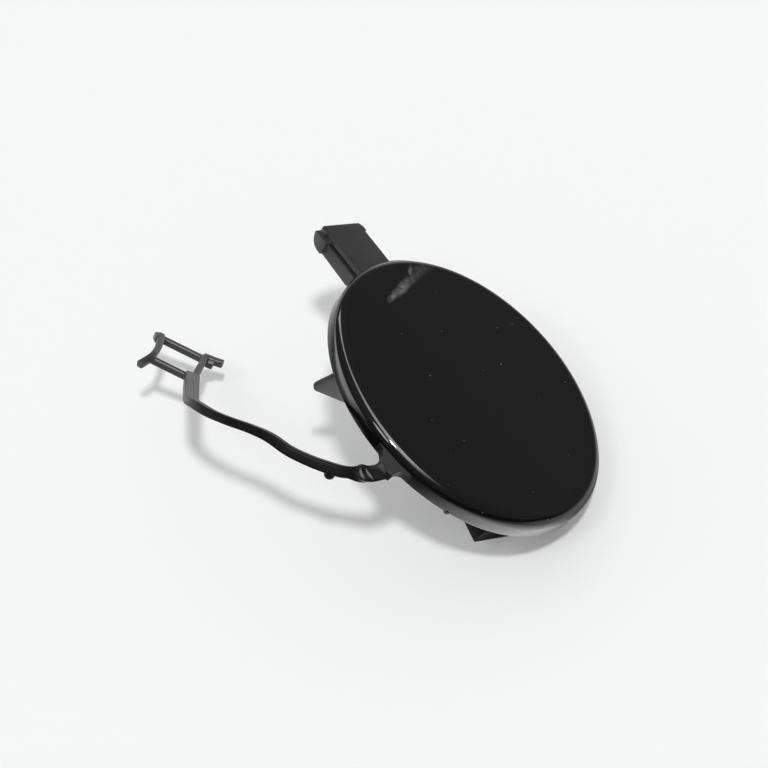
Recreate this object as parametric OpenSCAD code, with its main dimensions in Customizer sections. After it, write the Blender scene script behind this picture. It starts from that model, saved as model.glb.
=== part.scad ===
// Round cover for a bumper's towing eye: one black moulding with a crowned
// face, a rim, a spring tongue, a snap clip, locating fins and a tether strap.
// The rim's back lies at z = 0, the face looks along +Z, the tongue along +Y.

/* [Cap] */
// Diameter of the round face
face_d = 62; // [56:1:80]
// Depth of the rim, from its seat to the edge of the face
rim_h = 4.5; // [4:0.1:7]
// Radius of the rounded edge of the face
edge_r = 2.2; // [1:0.1:2.8]
// Height of the face's crown above its edge
crown_h = 0.7; // [0.3:0.1:1.5]
// Thickness of the rim's wall
rim_wall = 2; // [1.4:0.1:3]
// Thickness of the face's wall
face_wall = 1.8; // [1.2:0.1:2.6]

/* [Tongue] */
// Width of the spring tongue
tongue_w = 11.5; // [8:0.5:14]
// How far the tongue reaches past the rim
tongue_reach = 13.7; // [10:0.1:18]
// Thickness of the folded tongue's upper leg
tongue_leg = 0.9; // [0.8:0.1:1.4]
// Thickness of the folded tongue's lower leg
tongue_low_leg = 2.3; // [1.6:0.1:2.8]
// Gap between the two legs
tongue_gap = 0.6; // [0.5:0.1:1]
// How far the lower leg stands out beside the upper one
tongue_ledge = 0.5; // [0.3:0.1:0.8]
// Backward slope of the tongue, in degrees
tongue_slope = 9.5; // [4:0.5:14]
// Rounding of the tongue's outer corners
tongue_corner = 1.5; // [0.5:0.1:2.5]
// How far the lips at the tongue's end stand proud at each side
lip_out = 0.9; // [0.3:0.1:1.2]
// Length of those lips
lip_l = 3.6; // [2:0.1:5]

/* [Snap clip] */
// Width of the snap clip
clip_w = 10; // [6:0.5:14]
// Thickness of the clip's leg
clip_t = 1.6; // [1.2:0.1:2.4]
// Depth of the catch's shelf behind the rim
catch_z = 6; // [4:0.5:9]
// How far the catch stands out from the leg
catch_out = 5.6; // [3:0.1:6.5]
// Height of the catch at its tip
catch_h = 3.7; // [2:0.1:5]
// Distance from the leg's outer side to the inside of the rim
clip_inset = 9.6; // [6:0.1:11]

/* [Locating fins] */
// Angle of each fin from the tongue, in degrees
fin_angle = 60; // [45:1:80]
// Thickness of a fin
fin_t = 1; // [0.8:0.1:2]
// Depth of a fin's toe behind the rim
fin_z = 10; // [7:0.5:14]
// Distance from a fin's toe to the outside of the rim
fin_inset = 4; // [3:0.1:6]
// Radius of the toe's tip
fin_tip_r = 1.2; // [0.6:0.1:1.8]
// Length of a fin along the radius
fin_l = 13; // [9:0.5:16]

/* [Tether] */
// Width of the tether strap
strap_w = 3; // [2.2:0.1:3.6]
// Thickness of the tether strap along most of its length
strap_t = 1.7; // [1:0.1:1.9]
// Thickness of the strap at its root, from where it tapers
strap_root_t = 2.3; // [2:0.1:2.6]
// Angle of the tether's root from the tongue, in degrees
web_angle = 112; // [95:1:125]
// How far the web at the root reaches past the rim
web_reach = 5.4; // [4.5:0.1:6.5]
// Radius of the fillets between web and rim
web_fillet = 3; // [1.5:0.1:3.2]

/* [Anchor] */
// Length of the anchor's rails, between the middles of its end bars
rail_l = 8.6; // [7:0.1:11]
// Distance between the two rails
rail_gap = 13.9; // [11:0.1:18]
// Width of the rails and end bars
rail_w = 1.4; // [1:0.1:1.8]
// Thickness of the rails
rail_t = 1.5; // [0.8:0.1:1.7]
// Thickness of the end bars and barbs
bar_t = 1.5; // [1:0.1:1.7]
// How far the barbs stand out from the end bars
barb_out = 3.6; // [2:0.1:5]

/* [Hidden] */

face_r = face_d / 2;
seat_r = face_r - rim_wall;
panel_z = rim_h - face_wall;
crown_base_r = face_r - edge_r;
crown_steps = 8;
round_fn = 120;
arc_fn = 32;
// How deep joined features run into what carries them
bite = 0.6;

// Tongue: the middle of its top lies this far behind the rim's seat
tongue_drop = 1.2;
tongue_t = tongue_leg + tongue_gap + tongue_low_leg;
tongue_end = face_r + tongue_reach;
tongue_nose_wall = 1.5;
// Rounding of the fold's lower side, and the lower leg's growth towards its root
tongue_nose_r = 3;
tongue_swell = 0.6;
tongue_block_l = 6;

// Clip and fins
leg_outer_y = -(seat_r - clip_inset);
toe_r = face_r - fin_inset;
// A fin's outer edge leans in by this much for each millimetre towards the face
fin_lean = 0.4;
// A fin's lower edge drops this far from toe to inner end
fin_heel_drop = 1.2;

// Small marks of the moulding: a vestige on the rim and a nub below the strap
vestige_angle = 138;
vestige_r = 0.6;
nub_r = 1.1;
// How far the clip's underside rises from the catch's tip to the leg
catch_rise = 0.4;

// Web and strap
web_z = 0.3;
web_t = strap_t + 0.2;
web_tip_w = strap_w + 0.7;
web_tip_r = face_r + web_reach;
// The web's tip is cut at a slant, this much shorter at its lower side
web_slant = 1.6;
chamfer = 0.3;
strap_steps = 4;
web_dir = [-sin(web_angle), cos(web_angle), 0];
web_tip = web_dir * web_tip_r + [0, 0, web_z + web_t / 2];
// The strap's wide side looks outwards at its neck, then turns to look up
neck_up = [-0.85, -0.35, 0.4];
strap_up = [0.27, 0.5, 0.82];
// Points of the route where that turn begins and ends, and where the taper ends
turn_from = 1;
turn_to = 2.5;
taper_to = 8;
// Route of the strap's middle line, measured from the tip of the web
strap_route = [
    [1.3, 0.45, 0.3],
    [-0.5, 1.05, -1.15],
    [-1.4, 2.75, -3.3],
    [-2.2, 4.45, -5.3],
    [-3.6, 6.6, -6.8],
    [-5.5, 9.1, -8.1],
    [-8, 12.6, -9.4],
    [-9.4, 16.8, -10.8],
    [-10.2, 20.4, -13.1],
    [-10.8, 24.4, -16.3],
    [-10.3, 28.4, -19.7],
    [-8.9, 32.2, -22.8],
    [-5.4, 35.5, -26.6],
    [0.7, 39.9, -30.8],
    [6.2, 43.8, -34.4],
    [11.4, 47.3, -37.9]
];
strap_end = web_tip + strap_route[len(strap_route) - 1];
nub_at = web_tip + strap_route[4] + [0, -1.05, -0.55];

// Anchor: unit vectors along its rails and along its end bars
rail_dir = unit([0.54, -0.79, 0.28]);
bar_dir = unit([0.83, 0.46, -0.32]);
anchor_up = unit(cross(rail_dir, bar_dir));

function unit(v) = v / norm(v);

// A point of the anchor: a along the rails, b along the end bars, c upwards
function anchor_at(a, b, c = 0) =
    strap_end + a * rail_dir + b * bar_dir + c * anchor_up;

// A smooth curve through the points p, with n steps between two of them
function smooth_point(a, b, c, d, t) =
    0.5 * (2 * b + (c - a) * t
        + (2 * a - 5 * b + 4 * c - d) * t * t
        + (3 * b - a - 3 * c + d) * t * t * t);
function smooth(p, n) = [
    for (i = [0 : len(p) - 2])
        for (k = [0 : n - 1 + (i == len(p) - 2 ? 1 : 0)])
            smooth_point(
                p[max(i - 1, 0)], p[i], p[i + 1], p[min(i + 2, len(p) - 1)],
                k / n
            )
];

// Section of a bar with cut corners, across (x) and upwards (y)
function bar_section(w, t) = let (x = w / 2, y = t / 2, c = chamfer) [
    [x, y - c], [x - c, y], [c - x, y], [-x, y - c],
    [-x, c - y], [c - x, -y], [x - c, -y], [x, c - y]
];

function bar_ring(p, i, section, up) =
    let (
        last = len(p) - 1,
        along = unit(p[min(i + 1, last)] - p[max(i - 1, 0)]),
        top = unit(up - (up * along) * along),
        side = cross(along, top)
    )
    [for (s = section) p[i] + s[0] * side + s[1] * top];

// A bar swept along the points p, with thickness ts, its wide side looking along ups
module bar(p, w, ts, ups) {
    n = len(bar_section(w, ts[0]));
    rings = [for (i = [0 : len(p) - 1])
        let (section = bar_section(w, ts[min(i, len(ts) - 1)]))
            bar_ring(p, i, section, ups[min(i, len(ups) - 1)])];
    points = [for (r = rings) for (q = r) q];
    walls = [
        for (i = [0 : len(p) - 2])
            for (k = [0 : n - 1])
                let (a = i * n + k, b = i * n + (k + 1) % n)
                    [a, b, b + n, a + n]
    ];
    first_end = [for (k = [n - 1 : -1 : 0]) k];
    last_end = [for (k = [0 : n - 1]) (len(p) - 1) * n + k];
    polyhedron(points, concat([first_end], walls, [last_end]));
}

module cap_section() {
    difference() {
        union() {
            square([crown_base_r, rim_h]);
            square([face_r, rim_h - edge_r]);
            translate([crown_base_r, rim_h - edge_r])
                circle(edge_r, $fn = arc_fn);
            polygon(concat(
                [[0, rim_h - edge_r / 2]],
                [for (k = [0 : crown_steps])
                    let (r = crown_base_r * k / crown_steps)
                        [r, rim_h + crown_h * (1 - pow(r / crown_base_r, 2))]],
                [[crown_base_r, rim_h - edge_r / 2]]
            ));
        }
        square([seat_r, panel_z]);
    }
}

module cap() {
    rotate_extrude($fn = round_fn) cap_section();
}

// Side view of the folded tongue, in its own sloping frame
module tongue_side() {
    nose_x = tongue_end - tongue_nose_r;
    root_x = seat_r - tongue_block_l;
    slot_end = tongue_end - tongue_nose_wall - tongue_gap / 2;
    difference() {
        polygon(concat(
            [[root_x, 0], [tongue_end, 0]],
            [for (a = [0 : -7.5 : -90])
                [nose_x + tongue_nose_r * cos(a), tongue_nose_r * (1 + sin(a)) - tongue_t]],
            [[root_x, -tongue_t - tongue_swell]]
        ));
        translate([0, -tongue_leg - tongue_gap])
            square([slot_end, tongue_gap]);
        translate([slot_end, -tongue_leg - tongue_gap / 2])
            circle(tongue_gap / 2, $fn = arc_fn);
        translate([0, -2 * tongue_t])
            square([seat_r, 2 * tongue_t - tongue_leg - tongue_gap / 2]);
    }
}

// Plan of the tongue, with rounded outer corners, a little longer than its nose
module tongue_plan() {
    w = tongue_w / 2 - tongue_corner;
    end = tongue_end + 0.2;
    translate([-tongue_w / 2, 0])
        square([tongue_w, end - tongue_corner]);
    translate([-w, 0]) square([2 * w, end]);
    for (side = [-1, 1])
        translate([side * w, end - tongue_corner])
            circle(tongue_corner, $fn = arc_fn);
}

module sloped() {
    translate([0, face_r, -tongue_drop])
        rotate([-tongue_slope, 0, 0])
            translate([0, -face_r, 0])
                children();
}

module tongue() {
    lip_w = tongue_w + 2 * lip_out;
    ledge_l = tongue_end - tongue_nose_wall - tongue_gap;
    sloped() {
        difference() {
            intersection() {
                rotate([90, 0, 90])
                    linear_extrude(tongue_w + 2, center = true) tongue_side();
                translate([0, 0, -2 * tongue_t])
                    linear_extrude(3 * tongue_t) tongue_plan();
            }
            // The upper leg is narrower than the lower one
            for (side = [-1, 1])
                translate([side * (tongue_w / 2 + 2 - tongue_ledge), ledge_l / 2, 0])
                    cube([4, ledge_l, 2 * tongue_leg + tongue_gap], center = true);
        }
        // Lips that stand proud at both sides, with the round of the fold
        intersection() {
            translate([-lip_w / 2, tongue_end - lip_l - 0.3, -tongue_t + 0.1])
                cube([lip_w, lip_l, tongue_t - tongue_leg]);
            rotate([90, 0, 90])
                linear_extrude(2 * lip_w, center = true)
                    translate([tongue_end - tongue_nose_r - 0.15, tongue_nose_r - tongue_t + 0.15])
                        circle(tongue_nose_r, $fn = 2 * arc_fn);
        }
    }
    // The block that carries the tongue behind the rim, a little wider than it
    block_w = tongue_w + 1.2;
    intersection() {
        translate([-block_w / 2, seat_r - tongue_block_l, -tongue_leg])
            cube([block_w, tongue_block_l + rim_wall + 1, tongue_leg + panel_z + bite]);
        cylinder(r = face_r + 0.2, h = 4 * tongue_t, center = true, $fn = round_fn);
    }
}

// Side view of the clip: across the radius (x, outwards) and along the axis (y)
module clip_side() {
    foot = -catch_z - catch_h - 0.6;
    polygon([
        [0, panel_z + bite],
        [0, -catch_z],
        [catch_out, -catch_z - 0.6],
        [catch_out, foot],
        [0, foot + catch_rise],
        [-clip_t, foot + catch_rise],
        [-clip_t, panel_z + bite]
    ]);
}

module snap_clip() {
    translate([0, leg_outer_y, 0])
        rotate([90, 0, -90])
            linear_extrude(clip_w, center = true) clip_side();
    // Gussets that stiffen the root of the leg
    for (side = [-1, 1])
        translate([side * (clip_w / 2 - 1), leg_outer_y + clip_t - 0.1, panel_z + bite])
            rotate([90, 90, 90])
                linear_extrude(1.2, center = true)
                    polygon([[0, 0], [0, 5], [7, 0]]);
}

// Side view of a fin: radius (x) and height (y), with a round toe
module fin_side() {
    top_r = toe_r - fin_lean * (fin_z + panel_z);
    polygon(concat(
        [[top_r, panel_z + bite]],
        [for (a = [20 : -20 : -80])
            [toe_r - fin_tip_r + fin_tip_r * cos(a), -fin_z + fin_tip_r * sin(a)]],
        [
            [toe_r - fin_l + 4, -fin_z - fin_heel_drop],
            [toe_r - fin_l + 1.5, -fin_z],
            [toe_r - fin_l, panel_z + bite]
        ]
    ));
}

module fin(angle) {
    rotate([0, 0, 90 + angle])
        rotate([90, 0, 0])
            linear_extrude(fin_t, center = true) fin_side();
}

// Plan of the web between rim and strap, along the tether's first direction
module web_plan() {
    half = web_tip_w / 2;
    centre_q = half + web_fillet;
    centre_p = sqrt(pow(face_r + web_fillet, 2) - pow(centre_q, 2));
    from = 180 + atan2(centre_q, centre_p);
    steps = 8;
    arc = [for (k = [0 : steps])
        let (a = from + (270 - from) * k / steps)
            [centre_p + web_fillet * cos(a), centre_q + web_fillet * sin(a)]];
    inner = seat_r + bite;
    polygon(concat(
        [[inner, arc[0][1]]],
        arc,
        [[web_tip_r - web_slant, half], [web_tip_r, -half]],
        [for (k = [steps : -1 : 0]) [arc[k][0], -arc[k][1]]],
        [[inner, -arc[0][1]]]
    ));
}

module web() {
    translate([0, 0, web_z])
        rotate([0, 0, 90 + web_angle])
            linear_extrude(web_t) web_plan();
}

// 0 at the route's point named from, 1 at the point named to, for ring i
function share(i, from, to) =
    min(max((i / strap_steps - from) / (to - from), 0), 1);

module strap() {
    route = [for (p = strap_route) web_tip + p];
    rings = [0 : strap_steps * (len(route) - 1)];
    ups = [for (i = rings) neck_up + (strap_up - neck_up) * share(i, turn_from, turn_to)];
    ts = [for (i = rings) strap_root_t + (strap_t - strap_root_t) * share(i, turn_to, taper_to)];
    bar(smooth(route, strap_steps), strap_w, ts, ups);
    translate(nub_at) sphere(nub_r, $fn = 24);
}

// A bar of the anchor through points given in the anchor's own directions
module anchor_bar(points, w, t = bar_t) {
    bar(smooth([for (p = points) anchor_at(p[0], p[1], p[2])], 3), w, [t], [anchor_up]);
}

module anchor() {
    far = rail_gap;
    left = -rail_l;
    // The left end leans out by this much, and the rails lie a little low
    flare = 1.3;
    low = -0.5;
    // Near and far rail; the far one ends in a square corner past the left bar
    anchor_bar([[left, 0, low], [0, 0, low]], rail_w, rail_t);
    anchor_bar([[left - flare - 1, far, low], [0, far, low]], rail_w, rail_t);
    // Left end bar, which sweeps down into the near barb
    anchor_bar([
        [left - flare, far + 0.1, 0],
        [left - 0.35, far * 0.55, 0],
        [left - 0.1, 1, 0],
        [left - 0.6, -1.6, -0.5],
        [left - barb_out * 0.4, -3.5, -1.4]
    ], rail_w);
    anchor_bar([
        [left - flare - 0.4, far + 0.3, -0.35],
        [left - 0.9, far - 2.4, -0.1]
    ], rail_w + 0.6, bar_t + 0.1);
    // Right end bar, which carries on from the strap
    anchor_bar([
        [0.5, -1.5, 0],
        [0.3, far * 0.35, 0],
        [-0.15, far, 0]
    ], rail_w);
    // Far barb, with a step below its root
    anchor_bar([
        [-0.5, far, 0],
        [barb_out * 0.45, far, 0.2],
        [barb_out, far - 0.1, 0.5]
    ], rail_w + 0.4);
    anchor_bar([
        [-0.3, far - 0.3, -0.75],
        [barb_out * 0.55, far - 0.4, -0.6]
    ], rail_w + 0.3);
}

module tow_eye_cover() {
    color([0.09, 0.09, 0.09]) {
        cap();
        tongue();
        snap_clip();
        for (side = [-1, 1]) fin(side * fin_angle);
        web();
        strap();
        anchor();
        // Vestige of the moulding gate on the rim's back edge
        rotate([0, 0, vestige_angle])
            translate([0, face_r - vestige_r + 0.25, 0.4])
                cylinder(r = vestige_r, h = 0.7, center = true, $fn = 32);
    }
}

tow_eye_cover();
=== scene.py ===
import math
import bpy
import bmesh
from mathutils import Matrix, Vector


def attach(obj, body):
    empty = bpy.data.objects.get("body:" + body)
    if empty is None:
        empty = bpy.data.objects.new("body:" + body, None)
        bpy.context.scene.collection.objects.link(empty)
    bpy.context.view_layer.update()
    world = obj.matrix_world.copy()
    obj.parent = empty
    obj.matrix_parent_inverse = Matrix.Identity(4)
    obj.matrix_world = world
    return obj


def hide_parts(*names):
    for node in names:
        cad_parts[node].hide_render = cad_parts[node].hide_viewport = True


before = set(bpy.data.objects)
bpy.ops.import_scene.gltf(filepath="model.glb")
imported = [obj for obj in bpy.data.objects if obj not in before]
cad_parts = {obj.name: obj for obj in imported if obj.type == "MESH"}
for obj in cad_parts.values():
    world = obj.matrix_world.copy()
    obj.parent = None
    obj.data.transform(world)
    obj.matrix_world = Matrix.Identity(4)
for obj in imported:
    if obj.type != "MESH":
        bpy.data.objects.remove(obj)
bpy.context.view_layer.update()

# %% [markdown]
# # A towing-eye cover, from the frame up
# The object is the round cap that closes the hole for a car's towing eye. It is one
# black moulding: a painted, slightly crowned disc, and behind it bare plastic clips
# and a thin tether strap with a ladder-shaped anchor. The measured frame is loaded
# first, because each piece is built over it in the same place and at the same size.

MM = 0.001


def mm(*values):
    """A point given in millimetres, as a vector in metres."""
    return Vector(values) * MM


# %% [markdown]
# Operators act on whatever is selected, and loading the frame leaves its objects
# selected. So every piece begins with nothing selected. Faces are picked in code by
# a rule about their place or the way they look, as a modeller would pick them by eye.

# %% Selecting by rule
def clear_selection():
    if bpy.context.object and bpy.context.object.mode != "OBJECT":
        bpy.ops.object.mode_set(mode="OBJECT")
    bpy.ops.object.select_all(action="DESELECT")


def pick_faces(piece, rule):
    """Selects the faces of a piece, in edit mode, for which rule(centre, normal) holds."""
    bpy.ops.object.mode_set(mode="EDIT")
    bpy.ops.mesh.select_mode(type="FACE")
    bpy.ops.mesh.select_all(action="DESELECT")
    mesh = bmesh.from_edit_mesh(piece.data)
    for face in mesh.faces:
        face.select = rule(face.calc_center_median() / MM, face.normal)
    mesh.select_flush_mode()
    bmesh.update_edit_mesh(piece.data)


def tidy_mesh(piece):
    """Merges doubled points and turns every face outwards."""
    bpy.ops.object.mode_set(mode="EDIT")
    bpy.ops.mesh.select_all(action="SELECT")
    bpy.ops.mesh.remove_doubles(threshold=0.002 * MM)
    bpy.ops.mesh.normals_make_consistent(inside=False)
    bpy.ops.object.mode_set(mode="OBJECT")


def round_edges(piece, width, segments=3, angle=30):
    """Rounds the sharp edges of a piece with a Bevel modifier and applies it."""
    bevel = piece.modifiers.new("rounded edges", "BEVEL")
    bevel.width = width * MM
    bevel.segments = segments
    bevel.limit_method = "ANGLE"
    bevel.angle_limit = math.radians(angle)
    bpy.ops.object.modifier_apply(modifier=bevel.name)


# %% [markdown]
# Most moulded features are a flat outline given a thickness. The pen below draws
# such an outline the way one does by hand: a single point is extruded from corner to
# corner, the outline is filled, and the face is pulled out to the thickness.

# %% Drawing an outline and giving it thickness
def draw(name, corners):
    """Draws a chain of edges through the corners (mm) and leaves it selected."""
    clear_selection()
    bpy.ops.mesh.primitive_plane_add(size=MM)
    piece = bpy.context.object
    piece.name = name
    bpy.ops.object.mode_set(mode="EDIT")
    bpy.ops.mesh.merge(type="CENTER")
    bpy.ops.mesh.select_mode(type="VERT")
    bpy.ops.transform.translate(value=mm(*corners[0]))
    for here, there in zip(corners, corners[1:]):
        step = mm(*there) - mm(*here)
        bpy.ops.mesh.extrude_region_move(TRANSFORM_OT_translate={"value": step})
    return piece


def plate(name, corners, depth):
    """A closed plate: the outline through the corners, pulled out by depth (mm)."""
    piece = draw(name, corners)
    bpy.ops.mesh.select_all(action="SELECT")
    bpy.ops.mesh.edge_face_add()
    bpy.ops.mesh.extrude_region_move(TRANSFORM_OT_translate={"value": mm(*depth)})
    tidy_mesh(piece)
    return piece


def arc(centre, radius, start, end, steps):
    """Points on an arc in a plane, angles in degrees."""
    angles = [math.radians(start + (end - start) * k / steps) for k in range(steps + 1)]
    return [(centre[0] + radius * math.cos(a), centre[1] + radius * math.sin(a)) for a in angles]


def place(piece, move=(0, 0, 0), turn_x=0.0, turn_z=0.0):
    """Turns a piece about X, then Z, moves it (mm), and applies its place to the mesh."""
    piece.matrix_world = (
        Matrix.Translation(mm(*move))
        @ Matrix.Rotation(math.radians(turn_z), 4, "Z")
        @ Matrix.Rotation(math.radians(turn_x), 4, "X")
    )
    clear_selection()
    piece.select_set(True)
    bpy.context.view_layer.objects.active = piece
    bpy.ops.object.transform_apply(location=True, rotation=True, scale=True)


# %% [markdown]
# The camera comes early.
# A long lens, 10 degrees wide, looks down at the table from 42 degrees. The part lies
# tilted on that table, so in the part's own frame the camera is the one that leans.

# %% The camera
VIEW_ANGLE = 10.0
CAMERA_AT = mm(-630.487, -266.917, 484.335)
CAMERA_RIGHT = Vector((0.666402, -0.471426, 0.577638))
CAMERA_UP = Vector((0.085467, 0.817929, 0.568935))
CAMERA_BACK = Vector((-0.740678, -0.329771, 0.585361))

lens = bpy.data.cameras.new("photo_camera")
lens.sensor_fit = "HORIZONTAL"
lens.angle = math.radians(VIEW_ANGLE)
lens.clip_start = 0.01
lens.clip_end = 20
camera = bpy.data.objects.new("photo_camera", lens)
bpy.context.collection.objects.link(camera)
camera.matrix_world = Matrix.Translation(CAMERA_AT) @ Matrix(
    (CAMERA_RIGHT, CAMERA_UP, CAMERA_BACK)
).transposed().to_4x4()
bpy.context.scene.camera = camera
print("camera distance in mm:", round(CAMERA_AT.length / MM, 1))

# %% [markdown]
# ## The cap
# The face is a shallow dome with a rolled edge, a short skirt and a hollow back. On
# the real part it comes out of a turned mould, so here its section is drawn once and
# spun round the axis. A disc with a bevel would have neither the dome nor the
# smooth run of the edge into the face, which is where the long highlight sits.

# %% The cap's sizes, in mm
FACE_R = 31.0
RIM_H = 4.5
EDGE_R = 2.2
CROWN_H = 0.7
RIM_WALL = 2.0
FACE_WALL = 1.8
CROWN_R = FACE_R - EDGE_R
SEAT_R = FACE_R - RIM_WALL
PANEL_Z = RIM_H - FACE_WALL
FOOT_ROUND = 0.25
SEAT_ROUND = 0.2
HOLLOW_ROUND = 0.5

# %% The cap, spun from its section
def crown_z(r):
    return RIM_H + CROWN_H * (1 - (r / CROWN_R) ** 2)


meet = math.degrees(math.atan(2 * CROWN_H / CROWN_R))
section = [(r, crown_z(r)) for r in [CROWN_R * k / 24 for k in range(24)]]
section += arc((CROWN_R, RIM_H - EDGE_R), EDGE_R, 90 - meet, 0, 20)
section += arc((FACE_R - FOOT_ROUND, FOOT_ROUND), FOOT_ROUND, 0, -90, 4)
section += arc((SEAT_R + SEAT_ROUND, SEAT_ROUND), SEAT_ROUND, 270, 180, 3)
section += arc((SEAT_R - HOLLOW_ROUND, PANEL_Z - HOLLOW_ROUND), HOLLOW_ROUND, 0, 90, 4)
section += [(20, PANEL_Z), (10, PANEL_Z), (0, PANEL_Z)]
cap = draw("painted_cap", [(r, 0, z) for r, z in section])
bpy.ops.mesh.select_all(action="SELECT")
bpy.ops.mesh.spin(steps=240, angle=2 * math.pi, center=(0, 0, 0), axis=(0, 0, 1))
tidy_mesh(cap)
bpy.ops.object.shade_smooth()
print("cap faces:", len(cap.data.polygons))

# %% [markdown]
# ## The spring tongue
# A tongue folded back on itself like a hairpin reaches out behind the rim. Its upper
# leg is smooth, its lower leg ends in two small lips that lock in the bumper. The
# side view carries the fold, so the tongue is drawn from the side and pulled out to
# its width, and the far corners are then rounded off from above.

# %% The tongue's sizes, in mm
TONGUE_W = 11.5
TONGUE_END = FACE_R + 13.7
LEG = 0.9
LOW_LEG = 2.3
GAP = 0.6
LEDGE = 0.5
TONGUE_T = LEG + GAP + LOW_LEG
NOSE_R = 3.0
SWELL = 0.6
TONGUE_SLOPE = 9.5
TONGUE_DROP = 1.2
CORNER_R = 1.5
BLOCK_L = 6.0
LIP_OUT = 0.9
LIP_L = 3.6
LIP_BACK = 0.3
SLOT_WALL = 1.5

# %% The folded tongue, drawn from the side
nose_y = TONGUE_END - NOSE_R
root_y = SEAT_R - BLOCK_L
slot_end = TONGUE_END - SLOT_WALL - GAP / 2
swell_at_seat = SWELL * (nose_y - SEAT_R) / (nose_y - root_y)
outline = [(root_y, 0), (TONGUE_END, 0)]
outline += arc((nose_y, NOSE_R - TONGUE_T), NOSE_R, 0, -90, 16)
outline += [(SEAT_R, -TONGUE_T - swell_at_seat), (SEAT_R, -LEG - GAP)]
outline += arc((slot_end, -LEG - GAP / 2), GAP / 2, -90, 90, 8)
outline += [(root_y, -LEG)]
tongue = plate(
    "spring_tongue", [(-TONGUE_W / 2, y, z) for y, z in outline], (TONGUE_W, 0, 0)
)
print("tongue faces:", len(tongue.data.polygons))

# %% [markdown]
# Each far corner is rounded by cutting it with a tool that has the rounded shape. A
# Boolean modifier keeps only what lies inside the plan, which leaves the slot open.

# %% Rounding the tongue's far corners
plan_w = TONGUE_W / 2
plan_end = TONGUE_END + 0.2
plan = [(-plan_w, SEAT_R - BLOCK_L - 1, 4), (plan_w, SEAT_R - BLOCK_L - 1, 4)]
plan += [(x, y, 4) for x, y in arc((plan_w - CORNER_R, plan_end - CORNER_R), CORNER_R, 0, 90, 8)]
plan += [(x, y, 4) for x, y in arc((CORNER_R - plan_w, plan_end - CORNER_R), CORNER_R, 90, 180, 8)]
plan_tool = plate("plan_tool", plan, (0, 0, -12))


def combine(piece, tool, operation):
    """Cuts or joins a piece with a tool by a Boolean modifier, then deletes the tool."""
    clear_selection()
    piece.select_set(True)
    bpy.context.view_layer.objects.active = piece
    boolean = piece.modifiers.new("combine", "BOOLEAN")
    boolean.operation = operation
    boolean.object = tool
    boolean.solver = "EXACT"
    bpy.ops.object.modifier_apply(modifier=boolean.name)
    bpy.data.objects.remove(tool, do_unlink=True)


combine(tongue, plan_tool, "INTERSECT")
print("tongue faces with rounded corners:", len(tongue.data.polygons))

# %% The ledges beside the narrower upper leg
ledge_end = TONGUE_END - SLOT_WALL - GAP
for outer_x, depth_x in ((-TONGUE_W, TONGUE_W / 2 + LEDGE), (TONGUE_W, -TONGUE_W / 2 - LEDGE)):
    strip = [(root_y - 1, -LEG - GAP), (ledge_end, -LEG - GAP), (ledge_end, 2), (root_y - 1, 2)]
    strip_tool = plate("strip_tool", [(outer_x, y, z) for y, z in strip], (depth_x, 0, 0))
    combine(tongue, strip_tool, "DIFFERENCE")
print("upper leg width in mm:", TONGUE_W - 2 * LEDGE)

# %% The lips at the tongue's end
lip_w = TONGUE_W / 2 + LIP_OUT
lip_y = TONGUE_END - LIP_BACK
lip_top = -LEG - 0.05
lip = arc((nose_y - 0.15, NOSE_R - TONGUE_T + 0.15), NOSE_R, -8, -90, 14)
lip += [(lip_y - LIP_L, -TONGUE_T + 0.15), (lip_y - LIP_L, lip_top), (lip[0][0], lip_top)]
lips = plate("lips", [(-lip_w, y, z) for y, z in lip], (2 * lip_w, 0, 0))
combine(tongue, lips, "UNION")
tidy_mesh(tongue)
round_edges(tongue, 0.22, 3)
bpy.ops.object.shade_smooth_by_angle(angle=math.radians(35))
print("width over the lips in mm:", round(2 * lip_w, 1))

# %% [markdown]
# The tongue was drawn level. It slopes back by nearly ten degrees from a point just
# behind the rim, so it is turned about that point and then moved into its place.

# %% The tongue's slope
hinge = Vector((0, FACE_R, 0))
turned = Matrix.Rotation(math.radians(-TONGUE_SLOPE), 3, "X") @ hinge
place(tongue, hinge - turned - Vector((0, 0, TONGUE_DROP)), turn_x=-TONGUE_SLOPE)
print("tongue slope in degrees:", TONGUE_SLOPE)

# %% The block that carries the tongue behind the rim
BLOCK_EDGE = 0.6
BLOCK_R = FACE_R + 0.2
BITE = 0.3
block_w = TONGUE_W / 2 + BLOCK_EDGE
block_turn = math.degrees(math.asin(block_w / BLOCK_R))
block = [(x, y, -LEG) for x, y in arc((0, 0), BLOCK_R, 90 - block_turn, 90 + block_turn, 8)]
block = [(-block_w, SEAT_R - BLOCK_L, -LEG), (block_w, SEAT_R - BLOCK_L, -LEG)] + block
tongue_block = plate("tongue_block", block, (0, 0, LEG + PANEL_Z + BITE))
round_edges(tongue_block, 0.15, 2)
bpy.ops.object.shade_smooth_by_angle(angle=math.radians(35))
print("block width in mm:", round(2 * block_w, 1))

# %% [markdown]
# ## The snap clip
# Below the centre a stiff leg carries a catch that snaps behind the bumper skin. Its
# outline is drawn from the side and pulled out to its width. Two small gussets hold
# the leg's root. A corner of this clip is what the part rests on in the photograph.

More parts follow.
